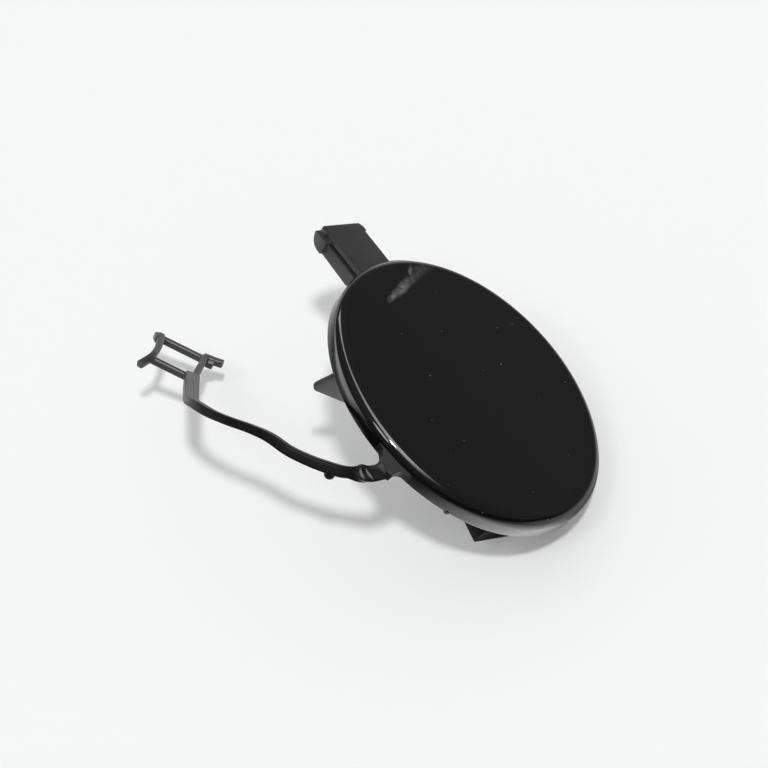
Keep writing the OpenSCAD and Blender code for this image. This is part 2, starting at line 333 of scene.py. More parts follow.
# %% The clip, its catch and gussets
CLIP_W = 10.0
CLIP_T = 1.6
CATCH_Z = 6.0
CATCH_OUT = 5.6
CATCH_H = 3.7
CATCH_FALL = 0.6
CATCH_RISE = 0.4
LEG_Y = -(SEAT_R - 9.6)
clip_root = PANEL_Z + BITE
foot = -CATCH_Z - CATCH_H - CATCH_FALL
clip_side = [
    (0, clip_root), (0, -CATCH_Z), (CATCH_OUT, -CATCH_Z - CATCH_FALL), (CATCH_OUT, foot),
    (0, foot + CATCH_RISE), (-CLIP_T, foot + CATCH_RISE), (-CLIP_T, clip_root),
]
clip = plate(
    "snap_clip", [(-CLIP_W / 2, LEG_Y - out, z) for out, z in clip_side], (CLIP_W, 0, 0)
)
round_edges(clip, 0.25, 3)
bpy.ops.object.shade_smooth_by_angle(angle=math.radians(35))

GUSSET_L = 5.0
GUSSET_H = 7.0
GUSSET_T = 1.2
GUSSET_IN = 1.0
gusset_y = LEG_Y + CLIP_T - 0.1
gussets = []
for side_x in (-1, 1):
    x = side_x * (CLIP_W / 2 - GUSSET_IN) - GUSSET_T / 2
    corners = [
        (x, gusset_y, clip_root), (x, gusset_y + GUSSET_L, clip_root), (x, gusset_y, clip_root - GUSSET_H)
    ]
    gusset = plate("clip_gusset", corners, (GUSSET_T, 0, 0))
    round_edges(gusset, 0.15, 2)
    bpy.ops.object.shade_smooth_by_angle(angle=math.radians(35))
    gussets.append(gusset)
print("clip reaches down to z =", round(foot, 1), "mm, with", len(gussets), "gussets")

# %% [markdown]
# ## The locating fins
# Two thin upright fins centre the cap in its hole. Each is a plate with a rounded toe.
# The outline is drawn in the plane of a radius, once for each fin, and each plate is
# then turned round the axis to its own angle. Only one of them shows in the photograph.

# %% The two fins
FIN_ANGLE = 60.0
FIN_T = 1.0
FIN_Z = 10.0
TOE_R = FACE_R - 4.0
TIP_R = 1.2
FIN_L = 13.0
FIN_LEAN = 0.4
fin_side = [(TOE_R - FIN_LEAN * (FIN_Z + PANEL_Z), clip_root)]
fin_side += arc((TOE_R - TIP_R, -FIN_Z), TIP_R, 20, -80, 6)
fin_side += [
    (TOE_R - FIN_L + 4, -FIN_Z - TIP_R), (TOE_R - FIN_L + 1.5, -FIN_Z), (TOE_R - FIN_L, clip_root)
]
fins = []
for angle in (FIN_ANGLE, -FIN_ANGLE):
    fin = plate("locating_fin", [(r, -FIN_T / 2, z) for r, z in fin_side], (0, FIN_T, 0))
    round_edges(fin, 0.2, 3)
    bpy.ops.object.shade_smooth_by_angle(angle=math.radians(35))
    place(fin, turn_z=90 + angle)
    fins.append(fin)
print("fins:", len(fins), "at", FIN_ANGLE, "degrees to either side")

# %% [markdown]
# ## The tether
# A thin strap hangs from the rim and ends in a ladder-shaped anchor with barbs. The
# real one is moulded in one piece with the cap and keeps the curve it has taken. It
# is built as a section pushed along a route: the first ring is a face, each step
# extrudes it, and the new ring is then set square to the route.

# %% Routes and sections
def smooth_route(points, steps):
    """A smooth curve (Catmull-Rom) through the points."""
    points = [Vector(p) for p in points]
    route = []
    for i in range(len(points) - 1):
        a, b = points[max(i - 1, 0)], points[i]
        c, d = points[i + 1], points[min(i + 2, len(points) - 1)]
        for k in range(steps + (i == len(points) - 2)):
            t = k / steps
            route.append(0.5 * (
                2 * b + (c - a) * t + (2 * a - 5 * b + 4 * c - d) * t * t
                + (3 * b - a - 3 * c + d) * t * t * t
            ))
    return route


def rounded_section(width, thickness, radius=0.35, steps=3):
    """The corners of a rounded rectangle, as (across, up) pairs in mm."""
    x, y = width / 2 - radius, thickness / 2 - radius
    ring = arc((x, y), radius, 0, 90, steps) + arc((-x, y), radius, 90, 180, steps)
    return ring + arc((-x, -y), radius, 180, 270, steps) + arc((x, -y), radius, 270, 360, steps)


# %% Pushing a section along a route
def sweep(name, route, width, thickness, ups):
    """Extrudes a rounded section along a route (mm), its wide side looking along ups."""
    thickness = thickness if isinstance(thickness, list) else [thickness]
    rings = []
    for i, point in enumerate(route):
        profile = rounded_section(width, thickness[min(i, len(thickness) - 1)])
        along = (route[min(i + 1, len(route) - 1)] - route[max(i - 1, 0)]).normalized()
        up = Vector(ups[min(i, len(ups) - 1)])
        up = (up - up.dot(along) * along).normalized()
        across = along.cross(up)
        rings.append([(point + x * across + y * up) * MM for x, y in profile])
    clear_selection()
    bpy.ops.mesh.primitive_circle_add(vertices=len(profile), radius=MM, fill_type="NGON")
    piece = bpy.context.object
    piece.name = name
    bpy.ops.object.mode_set(mode="EDIT")
    bpy.ops.mesh.select_mode(type="FACE")
    bpy.ops.mesh.select_all(action="SELECT")
    for i, ring in enumerate(rings):
        if i:
            bpy.ops.mesh.extrude_region()
        mesh = bmesh.from_edit_mesh(piece.data)
        fresh = [v for v in mesh.verts if v.select]
        if i:
            old = rings[i - 1]
            order = [min(range(len(old)), key=lambda k: (v.co - old[k]).length) for v in fresh]
        else:
            order = list(range(len(fresh)))
        for vertex, k in zip(fresh, order):
            vertex.co = ring[k]
        bmesh.update_edit_mesh(piece.data)
    tidy_mesh(piece)
    return piece


# %% [markdown]
# The web is the flat gusset between rim and strap. Two concave fillets spread it over
# the rim. It is a drawn outline again, seen from above and turned to its angle.

# %% The web between rim and strap
STRAP_W = 3.0
STRAP_T = 1.7
ROOT_T = 2.3
WEB_ANGLE = 112.0
WEB_R = FACE_R + 5.4
WEB_FILLET = 3.0
WEB_Z = 0.3
WEB_T = STRAP_T + 0.2
WEB_SLANT = 1.6
WEB_EXTRA = 0.7
WEB_BITE = 0.6
web_half = (STRAP_W + WEB_EXTRA) / 2
fillet_y = web_half + WEB_FILLET
fillet_x = math.sqrt((FACE_R + WEB_FILLET) ** 2 - fillet_y ** 2)
fillet_from = 180 + math.degrees(math.atan2(fillet_y, fillet_x))
fillet = arc((fillet_x, fillet_y), WEB_FILLET, fillet_from, 270, 10)
web_plan = [(FACE_R - WEB_BITE, fillet[0][1])] + fillet
web_plan += [(WEB_R - WEB_SLANT, web_half), (WEB_R, -web_half)]
web_plan += [(x, -y) for x, y in reversed(fillet)] + [(FACE_R - WEB_BITE, -fillet[0][1])]
web = plate("tether", [(x, y, WEB_Z) for x, y in web_plan], (0, 0, WEB_T))
place(web, turn_z=90 + WEB_ANGLE)
print("web reaches r =", WEB_R, "mm")

# %% The strap's route, from the tip of the web
out = Vector((-math.sin(math.radians(WEB_ANGLE)), math.cos(math.radians(WEB_ANGLE)), 0))
WEB_TIP = out * WEB_R + Vector((0, 0, WEB_Z + WEB_T / 2))
ROUTE = [
    (1.3, 0.45, 0.3), (-0.5, 1.05, -1.15), (-1.4, 2.75, -3.3), (-2.2, 4.45, -5.3),
    (-3.6, 6.6, -6.8), (-5.5, 9.1, -8.1), (-8, 12.6, -9.4), (-9.4, 16.8, -10.8),
    (-10.2, 20.4, -13.1), (-10.8, 24.4, -16.3), (-10.3, 28.4, -19.7), (-8.9, 32.2, -22.8),
    (-5.4, 35.5, -26.6), (0.7, 39.9, -30.8), (6.2, 43.8, -34.4), (11.4, 47.3, -37.9),
]
NECK_UP = Vector((-0.85, -0.35, 0.4))
STRAP_UP = Vector((0.27, 0.5, 0.82))
STEPS = 8


def share(i, start, end):
    """How far ring i lies between two points of the route: 0 before, 1 after them."""
    return min(max((i / STEPS - start) / (end - start), 0), 1)


route = smooth_route([WEB_TIP + Vector(p) for p in ROUTE], STEPS)
ups = [NECK_UP.lerp(STRAP_UP, share(i, 1, 2.5)) for i in range(len(route))]
thick = [ROOT_T + (STRAP_T - ROOT_T) * share(i, 2.5, 8) for i in range(len(route))]
strap = sweep("strap", route, STRAP_W, thick, ups)
length = sum((b - a).length for a, b in zip(route, route[1:]))
print("strap length in mm:", round(length, 1))

# %% [markdown]
# The anchor is a small ladder: two rails, two end bars and curved barbs that stop it
# from slipping out of the bumper. Its bars are the same kind of sweep, laid out in
# the anchor's own directions, along the rails and along the bars.

# %% The anchor's rails, bars and barbs
ANCHOR_AT = route[-1]
RAIL_DIR = Vector((0.54, -0.79, 0.28)).normalized()
BAR_DIR = Vector((0.83, 0.46, -0.32)).normalized()
ANCHOR_UP = RAIL_DIR.cross(BAR_DIR).normalized()
RAIL_L = 8.6
RAIL_GAP = 13.9
RAIL_W = 1.4
RAIL_T = 1.5
BAR_T = 1.5
BARB = 3.6
LOW = -0.5
FLARE = 1.3


def anchor_bar(name, points, width, thickness=BAR_T):
    places = [ANCHOR_AT + a * RAIL_DIR + b * BAR_DIR + c * ANCHOR_UP for a, b, c in points]
    return sweep(name, smooth_route(places, 6), width, thickness, [ANCHOR_UP])


far, left = RAIL_GAP, -RAIL_L
tether_parts = [
    strap,
    anchor_bar("near_rail", [(left, 0, LOW), (0, 0, LOW)], RAIL_W, RAIL_T),
    anchor_bar("far_rail", [(left - FLARE - 1, far, LOW), (0, far, LOW)], RAIL_W, RAIL_T),
    anchor_bar("left_bar", [
        (left - FLARE, far + 0.1, 0), (left - 0.35, far * 0.55, 0), (left - 0.1, 1, 0),
        (left - 0.6, -1.6, -0.5), (left - BARB * 0.4, -3.5, -1.4),
    ], RAIL_W),
    anchor_bar("corner", [(left - FLARE - 0.4, far + 0.3, -0.35), (left - 0.9, far - 2.4, -0.1)],
               RAIL_W + 0.6, BAR_T + 0.1),
    anchor_bar("right_bar", [(0.5, -1.5, 0), (0.3, far * 0.35, 0), (-0.15, far, 0)], RAIL_W),
    anchor_bar("far_barb", [
        (-0.5, far, 0), (BARB * 0.45, far, 0.2), (BARB, far - 0.1, 0.5),
    ], RAIL_W + 0.4),
    anchor_bar("barb_step", [(-0.3, far - 0.3, -0.75), (BARB * 0.55, far - 0.4, -0.6)], RAIL_W + 0.3),
]
print("bars of the anchor:", len(tether_parts) - 1)

# %% [markdown]
# A moulding has no seams where a bar meets a rail. Joining the sweeps and remeshing
# them as one skin melts the joints together, and a little smoothing gives the soft
# edges that polished mould steel leaves.

# %% The small nub below the strap
NUB_R = 1.1
nub_at = WEB_TIP + Vector(ROUTE[4]) + Vector((0, -1.05, -0.55))
clear_selection()
bpy.ops.mesh.primitive_uv_sphere_add(
    segments=24, ring_count=16, radius=NUB_R * MM, location=nub_at * MM)
nub = bpy.context.object
bpy.ops.transform.resize(value=(1, 1, 0.9), center_override=nub.location)
place(nub, nub.location / MM)
tether_parts.append(nub)
print("nub radius in mm:", NUB_R)

# %% One skin for the whole tether
VOXEL = 0.13
clear_selection()
for part in tether_parts:
    part.select_set(True)
web.select_set(True)
bpy.context.view_layer.objects.active = web
bpy.ops.object.join()
tether = bpy.context.object
skin = tether.modifiers.new("one skin", "REMESH")
skin.mode = "VOXEL"
skin.voxel_size = VOXEL * MM
bpy.ops.object.modifier_apply(modifier=skin.name)
soft = tether.modifiers.new("soft edges", "SMOOTH")
soft.factor = 0.5
soft.iterations = 3
bpy.ops.object.modifier_apply(modifier=soft.name)
bpy.ops.object.shade_smooth()
print("tether faces:", len(tether.data.polygons))

# %% [markdown]
# Where the plastic was fed into the mould, the broken gate leaves a small stub on the
# lower edge of the rim. In the photograph it is only a slight bump in the outline.
# It sits 0.35 mm lower here than in the solid.

# %% The vestige of the moulding gate on the rim
GATE_ANGLE = 138.0
GATE_R = 0.6
GATE_H = 0.7
GATE_Z = 0.05
gate_turn = math.radians(GATE_ANGLE)
gate_at = Vector((-math.sin(gate_turn), math.cos(gate_turn), 0)) * (FACE_R - 0.35)
clear_selection()
bpy.ops.mesh.primitive_cylinder_add(vertices=32, radius=GATE_R * MM, depth=GATE_H * MM)
gate = bpy.context.object
gate.name = "gate_vestige"
round_edges(gate, 0.15, 2)
bpy.ops.object.shade_smooth_by_angle(angle=math.radians(35))
place(gate, gate_at + Vector((0, 0, GATE_Z)))
print("gate vestige at r =", round(gate_at.length, 2), "mm")

# %% [markdown]
# ## Materials
# Two finishes cover the part. The face wears black gloss paint: a smooth clear film
# over black, with a faint orange-peel wave, a scuff and specks of dust. Behind the
# rim the ABS is bare: deep black, satin, with the fine grain of the mould.

# %% Colours and a helper for nodes
def linear(hex_colour):
    """An sRGB hex colour as linear red, green, blue and alpha."""
    values = [int(hex_colour[i:i + 2], 16) / 255 for i in (1, 3, 5)]
    return [v / 12.92 if v <= 0.04045 else ((v + 0.055) / 1.055) ** 2.4 for v in values] + [1.0]


def add_node(owner, kind, settings=None, inputs=None):
    """Adds a node. An input may be a constant, a socket, or a node, whose first output is used."""
    tree = owner.node_tree
    node = tree.nodes.new(kind)
    for key, value in (settings or {}).items():
        setattr(node, key, value)
    for key, value in (inputs or {}).items():
        if isinstance(value, bpy.types.Node):
            value = next(socket for socket in value.outputs if socket.enabled)
        if isinstance(value, bpy.types.NodeSocket):
            tree.links.new(value, node.inputs[key])
        else:
            node.inputs[key].default_value = value
    return node


def new_material(name):
    material = bpy.data.materials.new(name)
    material.use_nodes = True
    material.node_tree.nodes.clear()
    return material


print("linear value of middle grey:", round(linear("#808080")[0], 3))

# %% [markdown]
# Black gloss paint over ABS. Clear coats have an IOR of about 1.5 and a roughness
# under 0.1. The orange peel of sprayed paint has waves 1 to 3 mm long, so its noise
# is scaled to a wave of 2.2 mm. The bump is kept very low, as on a good finish.

# %% Gloss black paint, and its orange peel
PEEL_WAVE = 2.22
paint = new_material("gloss_black_paint")
coords = add_node(paint, "ShaderNodeTexCoord").outputs["Object"]
peel = add_node(paint, "ShaderNodeTexNoise", inputs={
    "Vector": coords, "Scale": 1 / (PEEL_WAVE * MM), "Detail": 2.0, "Roughness": 0.5})
peel_bump = add_node(paint, "ShaderNodeBump", inputs={
    "Strength": 0.04, "Distance": 0.2 * MM, "Height": peel})

# %% [markdown]
# The scuff near the upper edge is a pale smear where the film was rubbed. It is laid
# out as four strokes: a long one, one that keeps its start bright, a short side stroke
# and a faint tail. A noise with waves of nearly 4 mm bends their edges, and one of
# about 1 mm breaks up their tone.

# %% A soft smear
def smear(material, coords, centre, turn, half):
    """A soft-edged ellipsoid: 1 in its middle, 0 outside; sizes in mm, turns in degrees."""
    spot = add_node(material, "ShaderNodeMapping", {"vector_type": "TEXTURE"}, {
        "Vector": coords, "Location": mm(*centre),
        "Rotation": [math.radians(t) for t in turn], "Scale": mm(*half)})
    ball = add_node(material, "ShaderNodeTexGradient", {"gradient_type": "SPHERICAL"}, {"Vector": spot})
    return ball.outputs["Fac"]


# %% The scuff
EDGE_WAVE = 3.85
MOTTLE = 1.11
BEND = 1.4
wave = add_node(paint, "ShaderNodeTexNoise", inputs={
    "Vector": coords, "Scale": 1 / (EDGE_WAVE * MM), "Detail": 3.0})
wave_off = add_node(paint, "ShaderNodeVectorMath", {"operation": "SUBTRACT"}, {
    0: wave.outputs["Color"], 1: (0.5, 0.5, 0.5)})
wave_mm = add_node(paint, "ShaderNodeVectorMath", {"operation": "SCALE"}, {
    0: wave_off, "Scale": BEND * MM})
bent = add_node(paint, "ShaderNodeVectorMath", {"operation": "ADD"}, {
    0: coords, 1: wave_mm}).outputs["Vector"]
stroke = smear(paint, bent, (-3.6, 23.8, 4.9), (0, 0, 23), (7.8, 1.2, 3.0))
start = smear(paint, bent, (-7.4, 22.2, 4.9), (0, 0, 25), (3.6, 0.9, 3.0))
side_stroke = smear(paint, bent, (1.3, 27.6, 4.8), (0, 0, 55), (2.0, 0.7, 3.0))
tail = smear(paint, bent, (4.2, 27.3, 4.7), (0, 0, 15), (5.6, 1.6, 3.0))
rubbed = stroke
for other in (start, side_stroke):
    rubbed = add_node(paint, "ShaderNodeMath", {"operation": "MAXIMUM"}, {0: rubbed, 1: other})
mottle = add_node(paint, "ShaderNodeTexNoise", inputs={
    "Vector": coords, "Scale": 1 / (MOTTLE * MM), "Detail": 4.0, "Roughness": 0.7})
strong = add_node(paint, "ShaderNodeMapRange", inputs={
    "Value": rubbed, "From Min": 0.02, "From Max": 0.85, "To Max": 0.5})
faint = add_node(paint, "ShaderNodeMapRange", inputs={
    "Value": tail, "From Min": 0.05, "From Max": 0.8, "To Max": 0.16})
speckle = add_node(paint, "ShaderNodeMapRange", inputs={
    "Value": mottle, "From Min": 0.35, "From Max": 0.62, "To Min": 0.3, "To Max": 1.0})
smeared = add_node(paint, "ShaderNodeMath", {"operation": "MAXIMUM"}, {0: strong, 1: faint})
scuff = add_node(paint, "ShaderNodeMath", {"operation": "MULTIPLY"}, {0: smeared, 1: speckle})
print("nodes up to the scuff:", len(paint.node_tree.nodes))

# %% [markdown]
# Dust shows as a few pale points. A Voronoi pattern with cells about 5 mm wide gives
# one point to a cell. Each cell has a colour of its own at random: its red decides
# whether the speck is kept and how bright it is, its green how large. The specks are
# 0.1 to 0.3 mm wide, as coarse as they need to be to show.

# %% Dust on the paint
DUST_CELL = 5.26
# The smallest and the largest radius of a speck, as shares of a cell
SMALLEST = 0.012
LARGEST = 0.03
cells = add_node(paint, "ShaderNodeTexVoronoi", {"voronoi_dimensions": "2D"}, {
    "Vector": coords, "Scale": 1 / (DUST_CELL * MM)})
chosen = add_node(paint, "ShaderNodeSeparateColor", inputs={"Color": cells.outputs["Color"]})
speck_size = add_node(paint, "ShaderNodeMapRange", inputs={
    "Value": chosen.outputs["Green"], "To Min": SMALLEST, "To Max": LARGEST})
near = add_node(paint, "ShaderNodeMath", {"operation": "LESS_THAN"}, {
    0: cells.outputs["Distance"], 1: speck_size})
kept = add_node(paint, "ShaderNodeMapRange", inputs={
    "Value": chosen.outputs["Red"], "From Min": 0.72, "From Max": 1.0, "To Max": 0.6})
dust = add_node(paint, "ShaderNodeMath", {"operation": "MULTIPLY"}, {0: near, 1: kept})
worn = add_node(paint, "ShaderNodeMath", {"operation": "MAXIMUM"}, {0: scuff, 1: dust})
print("dust specks in mm:", [round(2 * r * DUST_CELL, 2) for r in (SMALLEST, LARGEST)])

# %% The paint's surface
paint_colour = add_node(paint, "ShaderNodeMix", {"data_type": "RGBA"}, {
    "Factor": worn, "A": linear("#09090A"), "B": linear("#A2A4A2")})
paint_rough = add_node(paint, "ShaderNodeMapRange", inputs={
    "Value": worn, "To Min": 0.07, "To Max": 0.6})
paint_shader = add_node(paint, "ShaderNodeBsdfPrincipled", inputs={
    "Base Color": paint_colour, "Roughness": paint_rough, "IOR": 1.5, "Normal": peel_bump})
add_node(paint, "ShaderNodeOutputMaterial", inputs={"Surface": paint_shader})
print("nodes in the paint:", len(paint.node_tree.nodes))

# %% [markdown]
# Bare ABS, injection moulded in a lightly eroded tool: IOR 1.54, roughness about 0.4,
# and a grain of about 0.2 mm. A slower noise, with waves of 5 to 6 mm as the melt
# leaves them, varies the colour and the roughness.

# %% Bare black ABS, and its grain
GRAIN = 0.238
FLOW = 5.56
abs_black = new_material("satin_black_abs")
coords = add_node(abs_black, "ShaderNodeTexCoord").outputs["Object"]
grain = add_node(abs_black, "ShaderNodeTexNoise", inputs={
    "Vector": coords, "Scale": 1 / (GRAIN * MM), "Detail": 3.0, "Roughness": 0.6})
flow = add_node(abs_black, "ShaderNodeTexNoise", inputs={
    "Vector": coords, "Scale": 1 / (FLOW * MM), "Detail": 4.0, "Roughness": 0.6})
grain_bump = add_node(abs_black, "ShaderNodeBump", inputs={
    "Strength": 0.25, "Distance": 0.04 * MM, "Height": grain})
abs_colour = add_node(abs_black, "ShaderNodeMix", {"data_type": "RGBA"}, {
    "Factor": flow, "A": linear("#0B0B0C"), "B": linear("#121312")})
abs_rough = add_node(abs_black, "ShaderNodeMapRange", inputs={
    "Value": flow, "To Min": 0.36, "To Max": 0.48})
print("grain in mm:", GRAIN)

# %% [markdown]
# The plastic is not equally dark all over in the photograph. The strap, its root and the clip are nearly
# black, and the tongue and the fin are greyer. One picture does not tell the cause. These tones are fitted:
# soft masks paint shade on the strap, its root and the clip, which are darker and have less gloss than the
# rest, and the rest is painted a lighter grey, as lit plastic.

# %% Painted shade on the strap, its root and the clip, and a lighter grey on the rest
places = [
    smear(abs_black, coords, WEB_TIP + Vector((-0.2, 0.9, -1.6)), (0, 0, 0), (10, 10, 8)),
    smear(abs_black, coords, WEB_TIP + Vector((-7, 15, -10)), (0, 0, 0), (20, 32, 25)),
    smear(abs_black, coords, (0, -24, -8), (0, 0, 0), (12, 10, 12)),
]
most_shaded = places[0]
for other in places[1:]:
    most_shaded = add_node(abs_black, "ShaderNodeMath", {"operation": "MAXIMUM"}, {0: most_shaded, 1: other})
# Painted shade: the strap, its root and the clip get a darker colour and less gloss.
shaded = add_node(abs_black, "ShaderNodeMapRange", inputs={"Value": most_shaded, "From Max": 0.35})
painted_lit_grey = add_node(abs_black, "ShaderNodeMapRange", inputs={
    "Value": shaded, "To Min": 0.6, "To Max": 0.0})
lit_and_shaded_colour = add_node(abs_black, "ShaderNodeMix", {"data_type": "RGBA"}, {
    "Factor": painted_lit_grey, "A": abs_colour, "B": linear("#3A3B3A")})
abs_gloss = add_node(abs_black, "ShaderNodeMapRange", inputs={
    "Value": shaded, "To Min": 0.55, "To Max": 0.08})
print("clean places:", len(places))

# %% [markdown]
# Where the strap was creased at its root, the plastic is stressed and turns pale, as
# black ABS does. Two flat smears make the pale strokes. The top of the web reads as an
# even grey in the photograph, so a third smear lifts it, thin enough to leave most of
# its walls alone.

# %% The crease, the top of the web, and the surface
crease = WEB_TIP + Vector((-1.45, 0.95, -0.85))
strokes = add_node(abs_black, "ShaderNodeMath", {"operation": "MAXIMUM"}, {
    0: smear(abs_black, coords, crease, (5, 0, 0), (2.2, 1.6, 0.32)),
    1: smear(abs_black, coords, crease + Vector((-0.4, 0.8, -1.0)), (5, 0, 0), (2.2, 1.6, 0.32))})
pale = add_node(abs_black, "ShaderNodeMapRange", inputs={
    "Value": strokes, "From Min": 0.1, "From Max": 0.6, "To Max": 0.45})
stressed = add_node(abs_black, "ShaderNodeMix", {"data_type": "RGBA"}, {
    "Factor": pale, "A": lit_and_shaded_colour, "B": linear("#8F928F")})
web_top = out * (FACE_R + 1.2) + Vector((0, 0, WEB_Z + WEB_T + 0.35))
# A lighter grey painted on the top of the web.
web_lighter = add_node(abs_black, "ShaderNodeMapRange", inputs={
    "Value": smear(abs_black, coords, web_top, (0, 0, 0), (6.5, 6.5, 0.8)),
    "From Max": 0.35, "To Max": 0.7})
web_lightened = add_node(abs_black, "ShaderNodeMix", {"data_type": "RGBA"}, {
    "Factor": web_lighter, "A": stressed, "B": linear("#4A4B4B")})
abs_shader = add_node(abs_black, "ShaderNodeBsdfPrincipled", inputs={
    "Base Color": web_lightened, "Roughness": abs_rough, "IOR": 1.54,
    "Specular IOR Level": abs_gloss, "Normal": grain_bump})
add_node(abs_black, "ShaderNodeOutputMaterial", inputs={"Surface": abs_shader})
print("nodes in the ABS:", len(abs_black.node_tree.nodes))

# %% [markdown]
# The cap carries both finishes. Paint reaches down the skirt, and the seat and the
# hollow back stay bare, so those faces are picked by their place and given the second
# material slot. Everything else is bare plastic.

# %% Dressing the pieces
PAINT_ENDS_Z = 0.15
cap.data.materials.append(paint)
cap.data.materials.append(abs_black)
clear_selection()
cap.select_set(True)
bpy.context.view_layer.objects.active = cap
pick_faces(cap, lambda centre, normal: centre.z < PAINT_ENDS_Z or
           (centre.xy.length < SEAT_R + 0.3 and centre.z < PANEL_Z + 0.05))
cap.active_material_index = 1
bpy.ops.object.material_slot_assign()
clear_selection()

bare = [tongue, tongue_block, clip, tether, gate] + gussets + fins
for piece in bare:
    piece.data.materials.clear()
    piece.data.materials.append(abs_black)
for piece in [cap] + bare:
    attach(piece, "root")
    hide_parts("tow_eye_cover")
print("pieces:", len(bare) + 1)

# %% [markdown]
# ## The table
# The part rests on a plain white table, which is tilted in the part's own frame. The
# table is a large plane square to the photograph's upright. It keeps the shadow, and
# it can be seen through from below, so a view from underneath still shows the part.

# %% The table plane, and the directions of the room
UPRIGHT = Vector((-0.432096, 0.38718, 0.814484))
AWAY = (-CAMERA_BACK + UPRIGHT * CAMERA_BACK.dot(UPRIGHT)).normalized()
TABLE_DROP = 23.05
TABLE_SIZE = 6000


def toward(azimuth, elevation):
    """A direction in the room: azimuth from straight ahead towards the right, in degrees."""
    az, el = math.radians(azimuth), math.radians(elevation)
    return math.cos(el) * (math.cos(az) * AWAY + math.sin(az) * CAMERA_RIGHT) + math.sin(el) * UPRIGHT


clear_selection()
bpy.ops.mesh.primitive_plane_add(size=TABLE_SIZE * MM)
table = bpy.context.object
table.name = "table"
table.matrix_world = Matrix.Translation(-UPRIGHT * TABLE_DROP * MM) @ Matrix(
    (CAMERA_RIGHT, AWAY, UPRIGHT)).transposed().to_4x4()
print("table tilt in degrees:", round(math.degrees(UPRIGHT.angle(Vector((0, 0, 1)))), 1))

# %% [markdown]
# Gloss shows the table differently from how the eye does: what counts there is how the
# light falls off across it. The falloff below is bright under the part and dim further
# out. A glare in front, shade beside the clip and the rim, a dark near side and a
# bright far left were added until the reflections had the photograph's tones. They
# show in the gloss only. The photograph shows the table as plain white there, so they
# are a fit, and not something that was seen.

# %% How bright the table is in a reflection
white = new_material("white_table")
on_table = add_node(white, "ShaderNodeTexCoord").outputs["Object"]
reach = add_node(white, "ShaderNodeVectorMath", {"operation": "LENGTH"}, {0: on_table})
falloff = add_node(white, "ShaderNodeValToRGB", inputs={"Fac": reach})
shades = falloff.color_ramp
for place_at, shade in ((0.0, 1.0), (0.16, 0.85), (0.3, 0.3), (0.45, 0.1), (1.0, 0.06)):
    stop = shades.elements.new(place_at)
    stop.color = (shade, shade, shade, 1)
shades.elements.remove(shades.elements[0])
shades.elements.remove(shades.elements[-1])
glare = add_node(white, "ShaderNodeMath", {"operation": "MULTIPLY_ADD"}, {
    0: smear(white, on_table, (7, -42, 0), (0, 0, 0), (42, 60, 60)), 1: 3.0, 2: falloff})
spots = add_node(white, "ShaderNodeSeparateXYZ", inputs={"Vector": on_table})
near_side = add_node(white, "ShaderNodeMapRange", inputs={
    "Value": spots.outputs["Y"], "From Min": -0.09, "From Max": -0.03, "To Min": 0.06})
lit_middle = add_node(white, "ShaderNodeMath", {"operation": "MULTIPLY"}, {0: glare, 1: near_side})
far_left = add_node(white, "ShaderNodeMapRange", inputs={
    "Value": spots.outputs["X"], "From Min": -0.3, "From Max": -0.7, "To Max": 2.2})
beyond = add_node(white, "ShaderNodeMapRange", inputs={
    "Value": spots.outputs["Y"], "From Min": -0.3, "From Max": 0.0})
lit_left = add_node(white, "ShaderNodeMath", {"operation": "MULTIPLY"}, {0: far_left, 1: beyond})
bright = add_node(white, "ShaderNodeMath", {"operation": "ADD"}, {0: lit_middle, 1: lit_left})
for centre, radius, darkest in (((8, -12, 0), 17, 0.04), ((27, -4, 0), 20, 0.3)):
    shade_here = add_node(white, "ShaderNodeMapRange", inputs={
        "Value": smear(white, on_table, centre, (0, 0, 0), (radius, radius, radius)),
        "From Max": 0.45, "To Min": 1.0, "To Max": darkest})
    bright = add_node(white, "ShaderNodeMath", {"operation": "MULTIPLY"}, {0: bright, 1: shade_here})
print("stops of the falloff:", len(shades.elements))

# %% [markdown]
# To the camera the table is white laminate that keeps its shadows. A small share of
# plain white is mixed in for camera rays, because the photograph's shadows are lighter
# than the lamps alone would leave them.

# %% White laminate, as the eye and as the gloss see it
PLAIN_SHARE = 0.18
path = add_node(white, "ShaderNodeLightPath")
side_seen = add_node(white, "ShaderNodeNewGeometry")
matt = add_node(white, "ShaderNodeBsdfDiffuse", inputs={"Color": linear("#F8F9F9")})
plain = add_node(white, "ShaderNodeEmission", inputs={"Strength": 0.92})
shine = add_node(white, "ShaderNodeEmission", inputs={"Strength": bright})
clear = add_node(white, "ShaderNodeBsdfTransparent")
to_eye = add_node(white, "ShaderNodeMath", {"operation": "MULTIPLY"}, {
    0: path.outputs["Is Camera Ray"], 1: PLAIN_SHARE})
lit_top = add_node(white, "ShaderNodeMixShader", inputs={0: to_eye, 1: matt, 2: plain})
seen = add_node(white, "ShaderNodeMixShader", inputs={
    0: path.outputs["Is Glossy Ray"], 1: lit_top, 2: shine})
from_below = add_node(white, "ShaderNodeMath", {"operation": "MULTIPLY"}, {
    0: path.outputs["Is Camera Ray"], 1: side_seen.outputs["Backfacing"]})
surface = add_node(white, "ShaderNodeMixShader", inputs={0: from_below, 1: seen, 2: clear})
add_node(white, "ShaderNodeOutputMaterial", inputs={"Surface": surface})
table.data.materials.append(white)
print("nodes in the table:", len(white.node_tree.nodes))

# %% [markdown]
# ## Light
# A soft lamp above and behind the camera throws the short shadows and gives nearly half
# of the table's light. A weaker, softer one stands behind the camera to the left, and
# the even light of the room is the rest.

# %% The lamps
for name, strength, softness, azimuth, elevation in (
    ("soft_key", 1.75, 4.5, 177.8, 56.6),
    ("soft_side", 0.5, 16, -150, 48),
):
    sun = bpy.data.lights.new(name, "SUN")
    sun.energy = strength
    sun.angle = math.radians(softness)
    lamp = bpy.data.objects.new(name, sun)
    bpy.context.collection.objects.link(lamp)
    lamp.matrix_world = toward(azimuth, elevation).to_track_quat("Z", "Y").to_matrix().to_4x4()
    print(name, "strength:", strength, "width in degrees:", softness)

